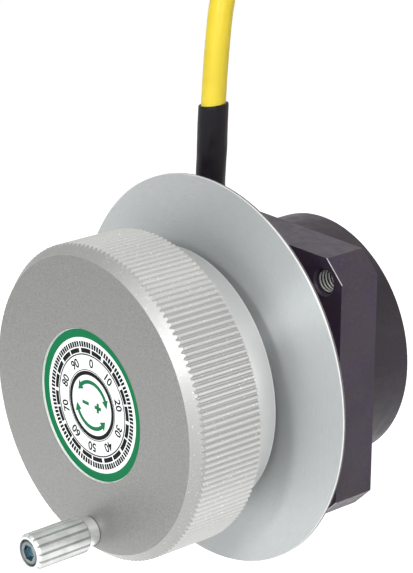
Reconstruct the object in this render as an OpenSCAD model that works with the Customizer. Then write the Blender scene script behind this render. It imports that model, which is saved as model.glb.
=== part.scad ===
// Panel-mounted pulse generator handwheel: a knurled wheel with a crank
// sleeve turns a shaft in two ball bearings, a magnetic detent and a code
// disc. +Z is up, the wheel's axis is Y and its face looks towards -Y. The
// origin is where that axis meets the block's mounting face, y = 0.

/* [Stack along the axis] */
// Space for the panel between the block and the cover disc
panel_gap = 10.2; // [9:0.1:12]
// Thickness of the cover disc
disc_t = 0.8; // [0.6:0.1:2]
// Running gap between the cover disc and the handwheel
wheel_gap = 4.7; // [3.5:0.1:7]
// Length of the smooth ring behind the knurl
ring_len = 8.5; // [6:0.5:12]
// Length of the knurled band
knurl_len = 13.8; // [10:0.2:20]
// Length of the front chamfer
chamfer_len = 2.2; // [1:0.1:3.5]

/* [Handwheel] */
// Diameter over the knurl
wheel_d = 63.4; // [60:0.2:72]
// Diameter of the smooth ring
ring_d = 53.4; // [50:0.2:58]
// Width of the front chamfer
chamfer_w = 1.8; // [1:0.1:2]
// Number of ridges in the knurl
knurl_count = 156; // [100:4:180]
// Depth of the knurl
knurl_depth = 0.45; // [0.3:0.05:0.7]
// Diameter of the hub inside the wheel
hub_d = 18; // [14:0.5:22]
// Wall of the smooth ring
ring_wall = 4.5; // [3:0.5:7]
// Depth of the hollow behind the wheel
hollow_depth = 12; // [6:0.5:14]
// Diameter of the label plate
label_d = 30.6; // [26:0.2:36]
// Thickness of the label plate
label_t = 0.5; // [0.3:0.1:0.8]
// Depth of the label's recess
label_recess = 1.0; // [0.9:0.1:1.5]

/* [Crank] */
// Distance of the crank from the wheel's axis
crank_r = 26.5; // [24:0.1:26.5]
// Diameter of the fluted sleeve
sleeve_d = 7.5; // [7:0.1:8.5]
// Length of the fluted sleeve
sleeve_len = 12.8; // [9:0.2:20]
// Number of flutes on the sleeve
flute_count = 14; // [10:1:18]
// Depth of a flute
flute_depth = 0.45; // [0.3:0.05:0.6]
// Diameter of the collar at the crank's foot
foot_d = 5.8; // [5:0.1:6.4]
// Length of the collar at the crank's foot
foot_len = 2.6; // [1:0.1:4]
// Diameter of the crank pin
pin_d = 3.5; // [3:0.1:3.8]
// Diameter of the crank pin's head
pin_head_d = 5; // [4.6:0.1:5.2]
// Height of the crank pin's head
pin_head_t = 2.4; // [1.8:0.1:3]

/* [Cover disc] */
// Diameter of the cover disc
disc_d = 80; // [76:0.5:90]
// Distance of the disc's screws from the axis
disc_screw_r = 16; // [14.5:0.5:18]

/* [Flange block] */
// Width and height of the square block
block_w = 54.6; // [54:0.2:60]
// Thickness of the block
block_t = 9.6; // [9:0.2:12]
// Length of each side of the corner chamfers
block_chamfer = 4.3; // [2:0.1:5]
// Distance of the threaded mounting holes from the block's sides
hole_edge = 5.05; // [4.8:0.05:6]
// Diameter of the threaded mounting holes
hole_d = 5; // [4:0.1:5]
// Diameter of the boss that passes through the panel
boss_d = 44; // [42:0.5:46]
// Thickness of the wall behind the mounting face
floor_t = 2; // [1.6:0.1:3]
// Diameter of the block's round pocket, inside the rear cover's edge
pocket_d = 46; // [45.6:0.1:46.4]

/* [Rear cover] */
// Diameter of the rear cover
cover_d = 51.2; // [50.8:0.1:53]
// Length of the rear cover
cover_len = 11.4; // [11:0.2:16]
// Wall of the rear cover
cover_wall = 2.2; // [1.8:0.1:2.4]
// Thickness of the gasket under the rear cover
gasket_t = 0.3; // [0.2:0.1:1]
// Distance of the cover's screws from the axis
cover_screw_r = 20.4; // [20:0.1:20.6]

/* [Shaft and bearings] */
// Diameter of the shaft
shaft_d = 8; // [7.6:0.1:8.2]
// Outer diameter of the ball bearings
bearing_d = 16; // [15.6:0.1:17]
// Width of the ball bearings
bearing_w = 5; // [4:0.1:5]
// Number of balls in a bearing
ball_count = 9; // [7:1:10]
// Width of the shoulder between the bearings
shoulder_w = 2; // [1:0.1:2.5]
// Thickness of the shaft seal
seal_t = 2.6; // [2:0.1:3]

/* [Detent and encoder] */
// Diameter of the detent wheel
detent_d = 29; // [27:0.1:29.4]
// Number of teeth on the detent wheel
detent_teeth = 100; // [60:10:120]
// Thickness of the detent wheel
detent_t = 2.4; // [2:0.1:2.6]
// Air gap between the detent wheel and its poles
pole_gap = 0.4; // [0.3:0.05:0.8]
// Diameter of the code disc
code_d = 33; // [32:0.2:34]
// Thickness of the code disc
code_t = 0.8; // [0.5:0.1:1.2]
// Thickness of the circuit board
board_t = 1.6; // [1:0.1:1.8]

/* [Cable] */
// Diameter of the cable
cable_d = 5.1; // [4.6:0.1:5.2]
// Diameter over the shrink sleeve at the block
sleeve_od = 6.3; // [6:0.1:6.4]
// Length of the shrink sleeve at the block
sleeve_h = 23.5; // [18:0.5:30]
// Distance of the cable's exit from the wheel's axis, to the left
exit_x = 16.3; // [16:0.1:16.4]
// Distance of the cable's exit behind the mounting face
exit_y = 4; // [3.8:0.1:5]

/* [Clearances] */
// Radial clearance of the crank sleeve on its pin
pin_fit = 0.06; // [0.04:0.01:0.1]
// Clearance of balls in their tracks and of the seal on the shaft
ball_fit = 0.06; // [0.04:0.01:0.1]
// Gap between parts that pass or turn close to each other
gap = 0.3; // [0.2:0.05:0.4]

/* [Hidden] */
$fn = 96;
over = 0.01;   // lets a cut run past the face it opens

// Faces along the axis, from the block forwards
y_disc_back = -panel_gap;
y_disc = y_disc_back - disc_t;
y_ring = y_disc - wheel_gap;
y_knurl = y_ring - ring_len;
y_edge = y_knurl - knurl_len;
y_face = y_edge - chamfer_len;
y_label = y_face + label_recess;

// Handwheel
wheel_r = wheel_d / 2;
ring_r = ring_d / 2;
face_r = wheel_r - chamfer_w;
hub_r = hub_d / 2;
hollow_r = ring_r - ring_wall;
hub_back = y_ring + 1.2;
edge_break = 0.4;
disc_edge = 0.15;

// Centre screw under the label
screw_head_r = 3.8;
screw_head_t = 2.4;
screw_r = 2;
screw_len = 9;
y_screw_seat = y_label + 3;
web_t = 3;
y_shaft_front = y_screw_seat + web_t;
flat_depth = 1;                      // flat that keys the wheel to the shaft

// Crank
sleeve_r = sleeve_d / 2;
sleeve_bevel = 0.55;
pin_r = pin_d / 2;
head_pocket = pin_head_t + 0.1;      // depth of the sleeve's pocket
y_foot = y_face - foot_len;
y_sleeve = y_foot - sleeve_len;
y_pin_seat = y_sleeve + head_pocket;
pin_thread = 7;
socket_af = 2.5;
pin_socket_af = 3;
disc_screw_len = 7;
thread_end = 1;      // depth of a threaded hole past its screw

// Shaft, bearings and seal
shaft_r = shaft_d / 2;
bearing_r = bearing_d / 2;
y_b1 = y_disc_back + seal_t + 0.5;   // front face of the front bearing
y_b1_back = y_b1 + bearing_w;
y_b2 = y_b1_back + shoulder_w;
y_b2_back = y_b2 + bearing_w;
track_r = (shaft_r + bearing_r) / 2;
ball_r = (bearing_r - shaft_r) * 0.3;
ring_lip = (bearing_r - shaft_r) * 0.25;
inner_lip_r = shaft_r + ring_lip;
outer_lip_r = bearing_r - ring_lip;
shield_t = 0.25;
shield_gap = 0.2;
seal_r = bearing_r + 0.6;
collar_r = inner_lip_r;
clip_t = 0.8;
hub_tube_r = bearing_r + 3;
hub_tube_back = y_b2_back + clip_t + 0.9;

// Encoder stack behind the bearings
y_detent = hub_tube_back + 0.6;
y_detent_back = y_detent + detent_t;
detent_r = detent_d / 2;
tooth_h = 0.5;
code_hub_r = 6;
y_code = y_detent_back + 2.2;
y_code_back = y_code + code_t;
code_r = code_d / 2;
y_shaft_back = y_code_back + 1;
y_board = y_shaft_back + 1;
y_board_back = y_board + board_t;

// Block and rear cover
block_h = block_w / 2;
hole_spacing = block_w - 2 * hole_edge;
pocket_r = pocket_d / 2;
boss_r = boss_d / 2;
y_cover = block_t + gasket_t;
y_cover_back = y_cover + cover_len;
cover_r = cover_d / 2;
cover_in_r = cover_r - cover_wall;
y_cover_floor = y_cover_back - cover_wall;
ear_r = 3.4;
cover_angles = [90, 210, 330];
pillar_angles = [115, 235, 355];
pillar_af = 4;
pillar_wall = 0.4;   // from a pillar's corners to the pocket's wall
pillar_r = pocket_r - pillar_af / sqrt(3) - pillar_wall;
board_screw_len = 4;
magnet_angles = [50, 170, 290];
magnet_w = 6;
reader_angle = 20;
reader_w = 6;
plug_angle = 140.4;
plug_h = 3.2;
plug_w = 6.4;
board_r = cover_in_r - 0.8;
m3_r = 1.5;
m25_r = 1.25;
oring_r = 0.9;
oring_mid_r = boss_r + 3;
oring_stand = 0.5;

// Cable route from inside the block to the coil, in millimetres
lean = 2.4;          // the sleeve leans backwards by this many degrees
cable_r = cable_d / 2;
core_r = 0.5;
cable_inner_z = 15;
seat_z = block_h - 1.5;
function leant(z) = [-exit_x, exit_y + (z - seat_z) * tan(lean), z];
route = [[-exit_x, exit_y, cable_inner_z], [-exit_x, exit_y, 21], leant(seat_z),
    leant(38), leant(50), [-exit_x, 5.8, 60],
    [-16.3, 7.2, 70], [-16.3, 10.6, 80], [-16.3, 17, 90], [-16.3, 26, 97],
    [-16.2, 37, 100.5], [-16.1, 48, 99], [-16, 58.5, 93], [-15.8, 66.5, 83],
    [-15.7, 71, 71], [-15.6, 73, 58], [-15.6, 73.4, 45], [-15.6, 73.4, 30]];
tail = [[-15.6, 78.6, 12], [-15.6, 78.6, 0], [-15.6, 78.6, -12], [-15.6, 78.6, -24],
    [-15.6, 78.6, -36]];
coil_pos = [16, 76, 20];
coil_mid_r = 29;
tie_w = 8;
tie_t = 1.2;
end_h = 14;          // length of the sleeve at the far end
core_len = 22;
ferrule_len = 8;

function polar(r, a, y = 0) = [r * cos(a), y, r * sin(a)];

// A cylinder along the axis from y0 to y1
module rod(r, y0, y1) {
    translate([0, y0, 0]) rotate([-90, 0, 0]) cylinder(r = r, h = y1 - y0);
}

module tube(ro, ri, y0, y1) {
    difference() {
        rod(ro, y0, y1);
        rod(ri, y0 - over, y1 + over);
    }
}

// A profile of [radius, y] points turned about the axis
module turned(points) {
    rotate([-90, 0, 0]) rotate_extrude() polygon(points);
}

// A flat shape drawn in X and Z, from y0 to y1
module plate(y0, y1) {
    translate([0, y1, 0]) rotate([90, 0, 0]) linear_extrude(y1 - y0) children();
}

// Places children at an angle round the axis, their own +X pointing outwards
module around(angles, r = 0) {
    for (a = angles) rotate([0, -a, 0]) translate([r, 0, 0]) children();
}

// A toothed outline with straight-sided ridges
module ridged(r, depth, count, tip = 0.3, root = 0.2) {
    step = 360 / count;
    polygon([for (i = [0 : count - 1], k = [0 : 3])
        let (a = step * (i + [-tip / 2, tip / 2, 0.5 - root / 2, 0.5 + root / 2][k]),
            rr = k < 2 ? r : r - depth)
        [rr * cos(a), rr * sin(a)]]);
}

// Handwheel: knurled band, smooth ring, hub with a keyed bore, front recess
module handwheel() {
    color("silver") difference() {
        union() {
            intersection() {
                plate(y_face, y_knurl) ridged(wheel_r, knurl_depth, knurl_count);
                turned([[0, y_face], [face_r, y_face],
                    [wheel_r + 1, y_edge + chamfer_len / chamfer_w], [wheel_r + 1, y_knurl],
                    [0, y_knurl]]);
            }
            turned([[0, y_knurl - 1], [ring_r, y_knurl - 1], [ring_r, y_ring - edge_break],
                [ring_r - edge_break, y_ring], [0, y_ring]]);
        }
        difference() {
            rod(hollow_r, y_ring - hollow_depth, y_ring + 1);
            rod(hub_r, y_ring - hollow_depth - 1, y_ring + 2);
        }
        rod(label_d / 2 + gap / 2, y_face - 1, y_label);
        rod(screw_head_r + gap, y_label - over, y_screw_seat);
        rod(screw_r + gap / 2, y_screw_seat - over, y_shaft_front + over);
        keyed(y_shaft_front, y_ring + 2);
        translate([0, 0, -crank_r]) rod(pin_r, y_face - 1, y_face + pin_thread + 1);
    }
}

// The shaft's front end, with a flat on top
module keyed(y0, y1) {
    difference() {
        rod(shaft_r, y0, y1);
        translate([-shaft_d, y0 - 1, shaft_r - flat_depth]) cube([2 * shaft_d, y1 - y0 + 2, shaft_d]);
    }
}

module label_plate() {
    color("white") rod(label_d / 2, y_label - label_t, y_label);
}

module centre_screw() {
    color("gainsboro") difference() {
        union() {
            turned([[0, y_screw_seat - screw_head_t], [screw_head_r - 0.8, y_screw_seat - screw_head_t],
                [screw_head_r, y_screw_seat - screw_head_t + 0.8], [screw_head_r, y_screw_seat],
                [0, y_screw_seat]]);
            rod(screw_r, y_screw_seat - over, y_screw_seat + screw_len);
        }
        hex_socket(socket_af, y_screw_seat - screw_head_t, 1.3);
    }
}

// A hexagon socket that opens towards -Y
module hex_socket(af, y, depth) {
    plate(y - 1, y + depth) circle(r = af / sqrt(3), $fn = 6);
}

// Crank: pin screwed into the wheel, fixed foot, free fluted sleeve
module crank_pin() {
    color("lightsteelblue") translate([0, 0, -crank_r]) difference() {
        union() {
            turned([[0, y_pin_seat - pin_head_t], [pin_head_d / 2 - 0.3, y_pin_seat - pin_head_t],
                [pin_head_d / 2, y_pin_seat - pin_head_t + 0.3], [pin_head_d / 2, y_pin_seat],
                [0, y_pin_seat]]);
            rod(pin_r, y_pin_seat - over, y_face + pin_thread);
        }
        hex_socket(pin_socket_af, y_pin_seat - pin_head_t, 1.6);
    }
}

module crank_foot() {
    color("silver") translate([0, 0, -crank_r])
        tube(foot_d / 2, pin_r, y_foot + gap / 2, y_face);
}

module crank_sleeve() {
    color("gainsboro") translate([0, 0, -crank_r]) difference() {
        intersection() {
            plate(y_sleeve, y_foot) ridged(sleeve_r, flute_depth, flute_count, 0.66, 0.1);
            turned([[0, y_sleeve], [sleeve_r - sleeve_bevel, y_sleeve],
                [sleeve_r + 1, y_sleeve + sleeve_bevel + 1],
                [sleeve_r + 1, y_foot - sleeve_bevel - 1],
                [sleeve_r - sleeve_bevel, y_foot], [0, y_foot]]);
        }
        rod(pin_r + pin_fit, y_sleeve - 1, y_foot + 1);
        rod(pin_head_d / 2 + gap, y_sleeve - 1, y_pin_seat + 0.1);
    }
}

// Shaft with its bearing collar, keyed front end and clip groove
module shaft() {
    color("lightgray") difference() {
        union() {
            keyed(y_shaft_front, hub_back);
            rod(shaft_r, hub_back - over, y_shaft_back);
            rod(collar_r, y_disc_back - 0.2, y_b1);
        }
        rod(screw_r, y_shaft_front - 1, y_screw_seat + screw_len + 0.5);
        tube(shaft_r + 1, shaft_r - 0.35, y_b2_back, y_b2_back + clip_t);
    }
}

module bearing_spacer() {
    color("gainsboro") tube(inner_lip_r, shaft_r, y_b1_back, y_b2);
}

// An open spring ring round a shaft or inside a bore
module open_ring(ro, ri, y0, y1) {
    difference() {
        tube(ro, ri, y0, y1);
        translate([-1, y0 - 1, 0]) cube([2, y1 - y0 + 2, ro + 1]);
    }
}

module shaft_clip() {
    color("dimgray") open_ring(shaft_r + 1.1, shaft_r - 0.35, y_b2_back, y_b2_back + clip_t);
}

// Ball bearings: rings with tracks, balls, cage
module inner_ring(y0) {
    color("silver") difference() {
        tube(inner_lip_r, shaft_r, y0, y0 + bearing_w);
        track(y0);
    }
}

module outer_ring(y0) {
    color("silver") difference() {
        union() {
            tube(bearing_r, outer_lip_r, y0, y0 + bearing_w);
            for (y = [y0, y0 + bearing_w - shield_t])
                tube(outer_lip_r + 0.2, inner_lip_r + shield_gap, y, y + shield_t);
        }
        track(y0);
    }
}

module track(y0) {
    translate([0, y0 + bearing_w / 2, 0]) rotate([90, 0, 0]) rotate_extrude()
        translate([track_r, 0]) circle(r = ball_r + ball_fit, $fn = 48);
}

module balls(y0) {
    color("gray") around([for (i = [0 : ball_count - 1]) 360 * i / ball_count], track_r)
        translate([0, y0 + bearing_w / 2, 0]) sphere(r = ball_r, $fn = 24);
}

module cage(y0) {
    mid = y0 + bearing_w / 2;
    color("peru") difference() {
        tube(track_r + 0.4, track_r - 0.4, mid - ball_r - 0.5, mid + ball_r + 0.5);
        around([for (i = [0 : ball_count - 1]) 360 * i / ball_count], track_r - 1)
            translate([0, mid, 0]) rotate([0, 90, 0]) cylinder(r = ball_r + ball_fit, h = 2);
    }
}

module front_inner_ring() { inner_ring(y_b1); }
module rear_inner_ring() { inner_ring(y_b2); }
module front_outer_ring() { outer_ring(y_b1); }
module rear_outer_ring() { outer_ring(y_b2); }
module front_balls() { balls(y_b1); }
module rear_balls() { balls(y_b2); }
module front_cage() { cage(y_b1); }
module rear_cage() { cage(y_b2); }

// Detent: a toothed steel wheel that passes three magnetic poles
module detent_wheel() {
    color("lightslategray") difference() {
        union() {
            plate(y_detent, y_detent_back) ridged(detent_r, tooth_h, detent_teeth, 0.45, 0.35);
            rod(code_hub_r, y_detent - 0.4, y_detent_back);
        }
        rod(shaft_r, y_detent - 1, y_detent_back + 1);
        around([for (i = [0 : 5]) 60 * i], (code_hub_r + detent_r) / 2)
            rod(2.2, y_detent - 1, y_detent_back + 1);
    }
}

module detent_magnets() {
    color("dimgray") around(magnet_angles)
        translate([detent_r + pole_gap + 0.6, floor_t, -magnet_w / 2])
            cube([4.6, y_detent - 0.2 - floor_t, magnet_w]);
}

module detent_poles() {
    color("slategray") difference() {
        around(magnet_angles)
            translate([detent_r - 1, y_detent - 0.2, -magnet_w / 2]) cube([7, detent_t, magnet_w]);
        rod(detent_r + pole_gap, y_detent - 1, y_detent_back + 1);
    }
}

// Code disc on its hub, held by a clamp ring
module code_disc_hub() {
    color("silver") tube(code_hub_r, shaft_r, y_detent_back, y_code);
}

module code_disc() {
    color("lightcyan") tube(code_r, shaft_r, y_code, y_code_back);
}

module code_disc_clamp() {
    color("silver") tube(code_hub_r - 0.5, shaft_r, y_code_back, y_shaft_back);
}

// Light source in front of the code disc and sensor behind it
module read_head() {
    outer = code_r + 3;
    color("black") around([reader_angle]) difference() {
        translate([code_r - 4, y_code - 1.4, -reader_w / 2])
            cube([outer - code_r + 4, y_board - y_code + 1.4, reader_w]);
        translate([code_r - 5, y_code - gap, -reader_w / 2 - 1])
            cube([5 + 2 * gap, code_t + 2 * gap, reader_w + 2]);
    }
}

module circuit_board() {
    color("darkgreen") difference() {
        rod(board_r, y_board, y_board_back);
        around(cover_angles, cover_screw_r) rod(ear_r + 0.4, y_board - 1, y_board_back + 1);
        around(cover_angles) translate([cover_screw_r, y_board - 1, -ear_r - 0.4])
            cube([board_r, board_t + 2, 2 * ear_r + 0.8]);
        around(pillar_angles, pillar_r) rod(m25_r, y_board - 1, y_board_back + 1);
    }
}

module board_pillars() {
    color("gold") around(pillar_angles, pillar_r) difference() {
        plate(floor_t, y_board) circle(r = pillar_af / sqrt(3), $fn = 6);
        rod(m25_r, y_board - board_screw_len - thread_end, y_board + 1);
    }
}

module board_screws() {
    color("gainsboro") around(pillar_angles, pillar_r) {
        rod(m25_r, y_board - board_screw_len, y_board_back + over);
        difference() {
            rod(2.2, y_board_back, y_board_back + 1.2);
            translate([-3, y_board_back + 0.6, -0.3]) cube([6, 1, 0.6]);
        }
    }
}

module board_connector() {
    color("ivory") around([plug_angle])
        translate([code_r + 1, y_board - plug_h, -plug_w / 2]) cube([5, plug_h, plug_w]);
}

// Four cores that bend from the cable's end into the connector
module cable_leads() {
    bend = 2.2;
    y_end = y_board - plug_h;
    color("green") for (dx = [-0.8, 0.8], dy = [-0.8, 0.8]) {
        r = bend - dy;
        z_bend = cable_inner_z - 0.5;
        swept(concat([[dx - exit_x, exit_y + dy, cable_inner_z]], [for (t = [0 : 30 : 90])
            [dx - exit_x, exit_y + bend - r * cos(t), z_bend - r * sin(t)]],
            [[dx - exit_x, y_end, z_bend - r]]), core_r, 8);
    }
}

// Flange block: square plate, panel boss in front, bearing tube inside
module flange_block() {
    color([0.16, 0.15, 0.17]) difference() {
        union() {
            plate(0, block_t) chamfered_square();
            rod(boss_r, y_disc_back, over);
        }
        difference() {
            rod(pocket_r, floor_t, block_t + 1);
            rod(hub_tube_r, floor_t - 1, hub_tube_back);
            around(cover_angles, cover_screw_r) rod(ear_r, floor_t - 1, block_t);
        }
        rod(seal_r, y_disc_back - 1, y_b1);
        rod(bearing_r, y_b1 - over, y_b1_back);
        rod(outer_lip_r + 0.2, y_b1_back - 1, y_b2 + 1);
        rod(bearing_r, y_b2, hub_tube_back + 1);
        tube(bearing_r + 0.5, bearing_r - 1, y_b2_back, y_b2_back + clip_t);
        tube(oring_mid_r + oring_r + 0.1, oring_mid_r - oring_r - 0.1, -1, 2 * oring_r - oring_stand);
        for (x = [-1, 1], z = [-1, 1]) translate([x, 0, z] * hole_spacing / 2) {
            rod(hole_d / 2, -1, block_t + 1);
            turned([[0, -1], [hole_d / 2 + 1.4, -1], [hole_d / 2, 0.4], [0, 0.4]]);
        }
        around(cover_angles, cover_screw_r) rod(m3_r, floor_t + 1, block_t + 1);
        around(disc_screw_angles(), disc_screw_r) {
            rod(m3_r, y_disc_back - 1, y_disc + disc_screw_len + thread_end);
            countersink(y_disc);
        }
        translate([-exit_x, exit_y, cable_inner_z - 3]) cylinder(r = cable_r + 0.2, h = block_w);
        translate([-exit_x, exit_y, seat_z]) cylinder(r = sleeve_od / 2 + 0.15, h = block_w);
    }
}

function disc_screw_angles() = [30, 150, 270];

module chamfered_square() {
    a = block_h;
    b = block_h - block_chamfer;
    polygon([[a, -b], [a, b], [b, a], [-b, a], [-a, b], [-a, -b], [-b, -a], [b, -a]]);
}

module housing_clip() {
    color("dimgray") open_ring(bearing_r + 0.5, outer_lip_r - 0.3, y_b2_back, y_b2_back + clip_t);
}

module shaft_seal() {
    color([0.2, 0.2, 0.2]) tube(seal_r, collar_r + ball_fit, y_b1 - seal_t, y_b1 - gap);
}

module panel_oring() {
    color("black") translate([0, oring_r - oring_stand, 0]) rotate([90, 0, 0]) rotate_extrude()
        translate([oring_mid_r, 0]) circle(r = oring_r, $fn = 48);
}

// Cover disc in front of the panel, with its countersunk screws
module cover_disc() {
    color("lightgray") difference() {
        turned([[0, y_disc], [disc_d / 2 - disc_edge, y_disc], [disc_d / 2, y_disc + disc_edge],
            [disc_d / 2, y_disc_back - disc_edge], [disc_d / 2 - disc_edge, y_disc_back],
            [0, y_disc_back]]);
        rod(seal_r + gap, y_disc - 1, y_disc_back + 1);
        around(disc_screw_angles(), disc_screw_r) {
            rod(m3_r + 0.1, y_disc - 1, y_disc_back + 1);
            countersink(y_disc);
        }
    }
}

// A cone for an M3 countersunk head whose top is at y, opening towards -Y
module countersink(y) {
    turned([[0, y - 1], [2.9, y - 1], [2.9, y], [m3_r, y + 1.4], [0, y + 1.4]]);
}

module countersunk_screw(y, len) {
    difference() {
        union() {
            turned([[0, y], [2.9, y], [m3_r, y + 1.4], [0, y + 1.4]]);
            rod(m3_r, y + 1.4 - over, y + len);
        }
        hex_socket(2, y, 0.9);
    }
}

module disc_screws() {
    color("gainsboro") around(disc_screw_angles(), disc_screw_r) countersunk_screw(y_disc, disc_screw_len);
}

// Rear cover: round cup with three screw columns
module rear_cover() {
    color([0.16, 0.15, 0.17]) difference() {
        turned([[0, y_cover], [cover_r, y_cover], [cover_r, y_cover_back - 0.6],
            [cover_r - 0.6, y_cover_back], [0, y_cover_back]]);
        difference() {
            rod(cover_in_r, y_cover - 1, y_cover_floor);
            around(cover_angles, cover_screw_r) rod(ear_r, y_cover - 2, y_cover_floor + 1);
        }
        around(cover_angles, cover_screw_r) {
            rod(m3_r + 0.1, y_cover - 1, y_cover_back + 1);
            mirror([0, 1, 0]) countersink(-y_cover_back);
        }
    }
}

module cover_gasket() {
    color("black") difference() {
        union() {
            tube(cover_r, cover_in_r, block_t, y_cover);
            around(cover_angles, cover_screw_r) rod(ear_r, block_t, y_cover);
        }
        around(cover_angles, cover_screw_r) rod(m3_r + 0.2, block_t - 1, y_cover + 1);
    }
}

module cover_screws() {
    color("dimgray") around(cover_angles, cover_screw_r)
        mirror([0, 1, 0]) countersunk_screw(-y_cover_back, y_cover_back - floor_t - 2.5);
}

// Cable: shrink sleeve, tube along the route, coil, tie, end sleeve, cores
module cable_sleeve() {
    lift = sleeve_od / 2 * sin(lean) + over;
    color("black") translate([-exit_x, exit_y, seat_z]) rotate([-lean, 0, 0]) difference() {
        translate([0, 0, lift]) cylinder(r = sleeve_od / 2, h = sleeve_h - lift, $fn = 48);
        translate([0, 0, -1]) cylinder(r = cable_r + 0.03, h = sleeve_h + 2, $fn = 48);
    }
}

function unit(v) = v / norm(v);
function ring_at(points, i, r, sides) =
    let (n = len(points) - 1, t = unit(points[min(i + 1, n)] - points[max(i - 1, 0)]),
        u = unit(cross(t, [1, 0, 0])), v = cross(t, u))
    [for (k = [0 : sides - 1])
        points[i] + r * (cos(360 * k / sides) * u + sin(360 * k / sides) * v)];

// A round tube along a route, as one closed skin
module swept(points, r = cable_r, sides = 10) {
    last = len(points) - 1;
    skin = [for (i = [0 : last - 1], k = [0 : sides - 1])
        let (a = sides * i + k, b = sides * i + (k + 1) % sides) [a, a + sides, b + sides, b]];
    polyhedron([for (i = [0 : last]) each ring_at(points, i, r, sides)],
        concat([[for (k = [0 : sides - 1]) k]], skin,
            [[for (k = [sides - 1 : -1 : 0]) sides * last + k]]), convexity = 6);
}

module cable() {
    color("gold") swept(route);
}

module cable_end() {
    color("gold") swept(tail);
}

module cable_coil() {
    color("gold") translate(coil_pos) rotate([90, 0, 0]) rotate_extrude()
        translate([coil_mid_r, 0]) circle(r = 2 * cable_r, $fn = 32);
}

module coil_tie() {
    color("black") translate(coil_pos + [0, 0, coil_mid_r]) rotate([0, 90, 0]) difference() {
        translate([0, 0, -tie_w / 2]) cylinder(r = 2 * cable_r + tie_t, h = tie_w);
        translate([0, 0, -tie_w]) cylinder(r = 2 * cable_r + 0.4, h = 2 * tie_w);
    }
}

module end_sleeve() {
    last = tail[len(tail) - 1];
    color("black") translate(last - [0, 0, end_h - 2]) difference() {
        cylinder(r = sleeve_od / 2, h = end_h);
        translate([0, 0, end_h - 2]) cylinder(r = cable_r, h = 3);
    }
}

module end_cores() {
    last = tail[len(tail) - 1];
    color("tomato") for (i = [0 : 5])
        translate(last + [1.7 * cos(60 * i), 1.7 * sin(60 * i), 2 - end_h - core_len]) {
            cylinder(r = 0.6, h = core_len, $fn = 24);
            translate([0, 0, -ferrule_len]) cylinder(r = 0.45, h = ferrule_len, $fn = 24);
        }
}

handwheel();
label_plate();
centre_screw();
crank_pin();
crank_foot();
crank_sleeve();
shaft();
bearing_spacer();
shaft_clip();
front_inner_ring();
rear_inner_ring();
detent_wheel();
code_disc_hub();
code_disc();
code_disc_clamp();
front_balls();
front_cage();
rear_balls();
rear_cage();
flange_block();
cover_disc();
disc_screws();
panel_oring();
shaft_seal();
front_outer_ring();
rear_outer_ring();
housing_clip();
detent_magnets();
detent_poles();
circuit_board();
board_pillars();
board_screws();
read_head();
board_connector();
cable_leads();
rear_cover();
cover_gasket();
cover_screws();
cable_sleeve();
cable();
cable_coil();
coil_tie();
cable_end();
end_sleeve();
end_cores();
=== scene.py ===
import math

import bmesh
import bpy
from mathutils import Matrix, Vector


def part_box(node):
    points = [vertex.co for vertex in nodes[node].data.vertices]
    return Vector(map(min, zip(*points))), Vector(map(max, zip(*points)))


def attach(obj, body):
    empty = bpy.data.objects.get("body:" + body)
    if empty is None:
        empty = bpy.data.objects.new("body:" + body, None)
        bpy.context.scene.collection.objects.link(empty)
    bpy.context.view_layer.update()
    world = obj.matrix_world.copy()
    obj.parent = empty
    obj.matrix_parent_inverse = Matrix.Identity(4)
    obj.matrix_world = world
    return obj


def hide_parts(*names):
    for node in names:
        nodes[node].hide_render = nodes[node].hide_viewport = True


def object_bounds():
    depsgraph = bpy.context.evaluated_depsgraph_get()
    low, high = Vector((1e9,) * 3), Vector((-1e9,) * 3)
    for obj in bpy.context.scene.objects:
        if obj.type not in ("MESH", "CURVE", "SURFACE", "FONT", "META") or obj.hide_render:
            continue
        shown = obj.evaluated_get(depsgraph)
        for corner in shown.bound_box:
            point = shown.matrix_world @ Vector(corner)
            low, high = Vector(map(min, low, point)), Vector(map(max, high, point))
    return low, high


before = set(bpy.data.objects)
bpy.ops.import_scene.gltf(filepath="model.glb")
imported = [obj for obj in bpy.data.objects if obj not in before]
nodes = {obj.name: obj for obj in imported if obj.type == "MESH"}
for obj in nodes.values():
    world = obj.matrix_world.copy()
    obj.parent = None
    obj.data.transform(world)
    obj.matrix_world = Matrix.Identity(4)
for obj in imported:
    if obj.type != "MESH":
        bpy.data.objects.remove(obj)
cad_box = [list(v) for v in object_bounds()]
MM = 0.001

# Places on the CAD that materials and added pieces go by, in mm. The wheel's axis lies
# along Y, the front is towards -Y, and the block's front face is at 0.
WHEEL_R, KNURL_RIDGES = 31.7, 156
FACE_Y, RING_Y, WHEEL_BACK_Y = -40.2, -24.2, -15.7
CHAMFER_SLOPE, CHAMFER_Y = 2.2 / 1.8, -76.744       # the cone is CHAMFER_Y + slope * radius
LABEL_R, LABEL_Y = 15.3, -39.7
DISC_R, DISC_Y = 40.0, -11.0
CORNER = 50.3                                       # |x| + |z| at the block's cut corners
BLOCK_T, HOLE, HOLE_R = 9.6, 22.25, 2.5             # mounting holes at +-HOLE in X and Z
FLUTES = 14


def direction(az, el):
    """Unit vector at an azimuth from -Y towards X and an elevation, both in radians."""
    return Vector((math.sin(az) * math.cos(el), -math.cos(az) * math.cos(el), math.sin(el)))


# ---------------------------------------------------------------- camera

CAM_AZ, CAM_EL, CAM_ROLL = 49.33, 20.02, 0.28       # degrees, fitted to the photo
CAM_TARGET, CAM_SHIFT, CAM_DISTANCE = (0, -11, 0), (0.24, 16.64), 450.2     # mm
CAM_LENS, CAM_SENSOR = 141.0, 36.0


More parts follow.
